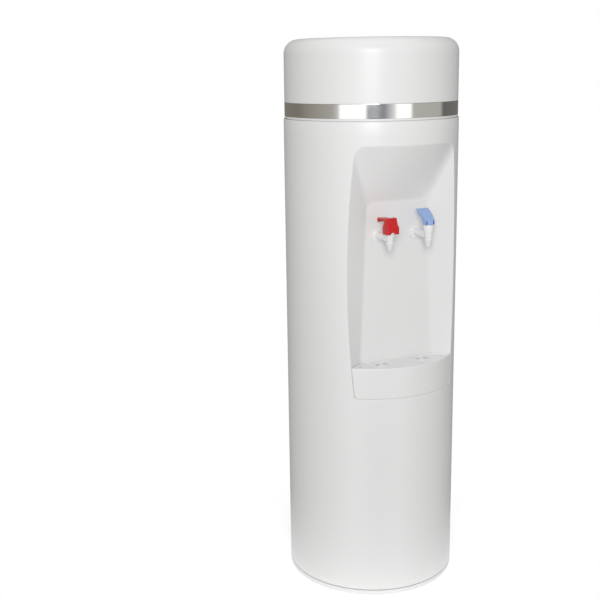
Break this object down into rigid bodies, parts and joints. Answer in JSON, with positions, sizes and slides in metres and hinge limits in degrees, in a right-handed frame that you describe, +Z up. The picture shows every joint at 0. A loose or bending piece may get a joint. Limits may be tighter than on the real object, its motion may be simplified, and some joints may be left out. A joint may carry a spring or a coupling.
{
  "type": "floor-standing water dispenser",
  "caption": "Round white tower water dispenser with a stainless band under a lift-off lid, a tapered recess with hot and cold lever taps, and a pull-out drip tray with a drain grille.",
  "frame": {"origin": "on the floor, at the vertical axis of the round tower", "axes": "+Z up along the tower, -Y out of the front through the taps, +X to the right of someone facing it"},
  "size_m": [0.318, 0.318, 1.016],
  "materials": {
    "white_shell": "satin white moulded ABS",
    "white_gloss": "gloss white",
    "grille_grey": "fine textured light grey",
    "stainless": "polished stainless",
    "hot_red": "gloss red",
    "cold_blue": "gloss blue",
    "rubber_black": "matt",
    "foam": "expanded foam",
    "copper": "copper tube",
    "black_steel": "black paint",
    "zinc_steel": "zinc plated sheet",
    "grey_panel": "light grey powder coat",
    "black_plastic": "black moulding",
    "silicone": "clear silicone hose"
  },
  "bodies": {
    "tower": {"base_ring": "white_shell", "base_plate": "zinc_steel", "foot_front_left": "rubber_black", "foot_front_right": "rubber_black", "foot_rear_left": "rubber_black", "foot_rear_right": "rubber_black", "body_shell": "white_shell", "recess_liner": "white_shell", "top_deck": "white_shell", "trim_band": "stainless", "hot_tap_body": "white_gloss", "hot_flange": "white_gloss", "hot_shank_nut": "white_gloss", "hot_bonnet": "white_gloss", "hot_spring": "stainless", "cold_tap_body": "white_gloss", "cold_flange": "white_gloss", "cold_shank_nut": "white_gloss", "cold_bonnet": "white_gloss", "cold_spring": "stainless", "cold_reservoir": "stainless", "insulation_jacket": "foam", "evaporator_coil": "copper", "reservoir_baffle": "white_gloss", "reservoir_cover": "white_gloss", "float_valve": "white_gloss", "hot_tank": "stainless", "heater_band": "zinc_steel", "tank_shelf": "zinc_steel", "hot_tank_stand": "zinc_steel", "cold_hose": "silicone", "hot_hose": "silicone", "feed_hose": "silicone", "compressor_mounts": "rubber_black", "compressor": "black_steel", "condenser": "black_steel", "filter_drier": "copper", "refrigerant_lines": "copper", "control_box": "black_plastic", "rear_panel": "grey_panel", "service_plate": "grey_panel", "service_shelf": "zinc_steel", "power_inlet": "black_plastic", "switch_frame": "black_plastic", "water_inlet": "white_gloss", "panel_screws": "zinc_steel"},
    "lid": {"lid": "white_shell"},
    "tray": {"drip_tray": "white_shell"},
    "grille": {"drip_grille": "grille_grey"},
    "hot_valve": {"hot_stem": "white_gloss"},
    "cold_valve": {"cold_stem": "white_gloss"},
    "hot_handle": {"hot_lever": "hot_red", "hot_lever_pin": "stainless", "hot_latch_pin": "stainless"},
    "cold_handle": {"cold_lever": "cold_blue", "cold_lever_pin": "stainless"},
    "hot_safety_latch": {"hot_latch": "hot_red"},
    "float": {"float_arm": "white_gloss"},
    "heater_rocker": {"heater_switch": "hot_red"},
    "cooler_rocker": {"cooler_switch": "black_plastic"}
  },
  "joints": [
    {"name": "hot_valve_lift", "type": "slide", "parent": "tower", "child": "hot_valve", "axis": [0, 0, 1], "range_m": [0, 0.0022], "stiffness_N_per_m": 1500, "deforming": ["hot_spring"]},
    {"name": "hot_handle_tilt", "type": "hinge", "parent": "hot_valve", "child": "hot_handle", "pos_m": [-0.03875, -0.142, 0.698], "axis": [-1, 0, 0], "range_deg": [0, 20]},
    {"name": "cold_valve_lift", "type": "slide", "parent": "tower", "child": "cold_valve", "axis": [0, 0, 1], "range_m": [0, 0.0022], "stiffness_N_per_m": 1500, "deforming": ["cold_spring"]},
    {"name": "cold_handle_tilt", "type": "hinge", "parent": "cold_valve", "child": "cold_handle", "pos_m": [0.03875, -0.142, 0.698], "axis": [-1, 0, 0], "range_deg": [0, 20]},
    {"name": "hot_latch_squeeze", "type": "hinge", "parent": "hot_handle", "child": "hot_safety_latch", "pos_m": [-0.03875, -0.1388, 0.7082], "axis": [-1, 0, 0], "range_deg": [0, 10], "stiffness_Nm_per_rad": 0.06},
    {"name": "tray_pull", "type": "slide", "parent": "tower", "child": "tray", "axis": [0, -1, 0], "range_m": [0, 0.11]},
    {"name": "grille_lift", "type": "slide", "parent": "tray", "child": "grille", "axis": [0, 0, 1], "range_m": [0, 0.03]},
    {"name": "lid_lift", "type": "slide", "parent": "tower", "child": "lid", "axis": [0, 0, 1], "range_m": [0, 0.12]},
    {"name": "float_swing", "type": "hinge", "parent": "tower", "child": "float", "pos_m": [0, 0.085, 0.865], "axis": [1, 0, 0], "range_deg": [-14, 0]},
    {"name": "heater_rocker_tilt", "type": "hinge", "parent": "tower", "child": "heater_rocker", "pos_m": [-0.03625, 0.1295, 0.13], "axis": [-1, 0, 0], "range_deg": [0, 12]},
    {"name": "cooler_rocker_tilt", "type": "hinge", "parent": "tower", "child": "cooler_rocker", "pos_m": [-0.01375, 0.1295, 0.13], "axis": [-1, 0, 0], "range_deg": [0, 12]}
  ],
  "couplings": [
    {"joint": "hot_handle_tilt", "follows": "hot_valve_lift", "rad_per_m": 158.6},
    {"joint": "cold_handle_tilt", "follows": "cold_valve_lift", "rad_per_m": 158.6}
  ]
}
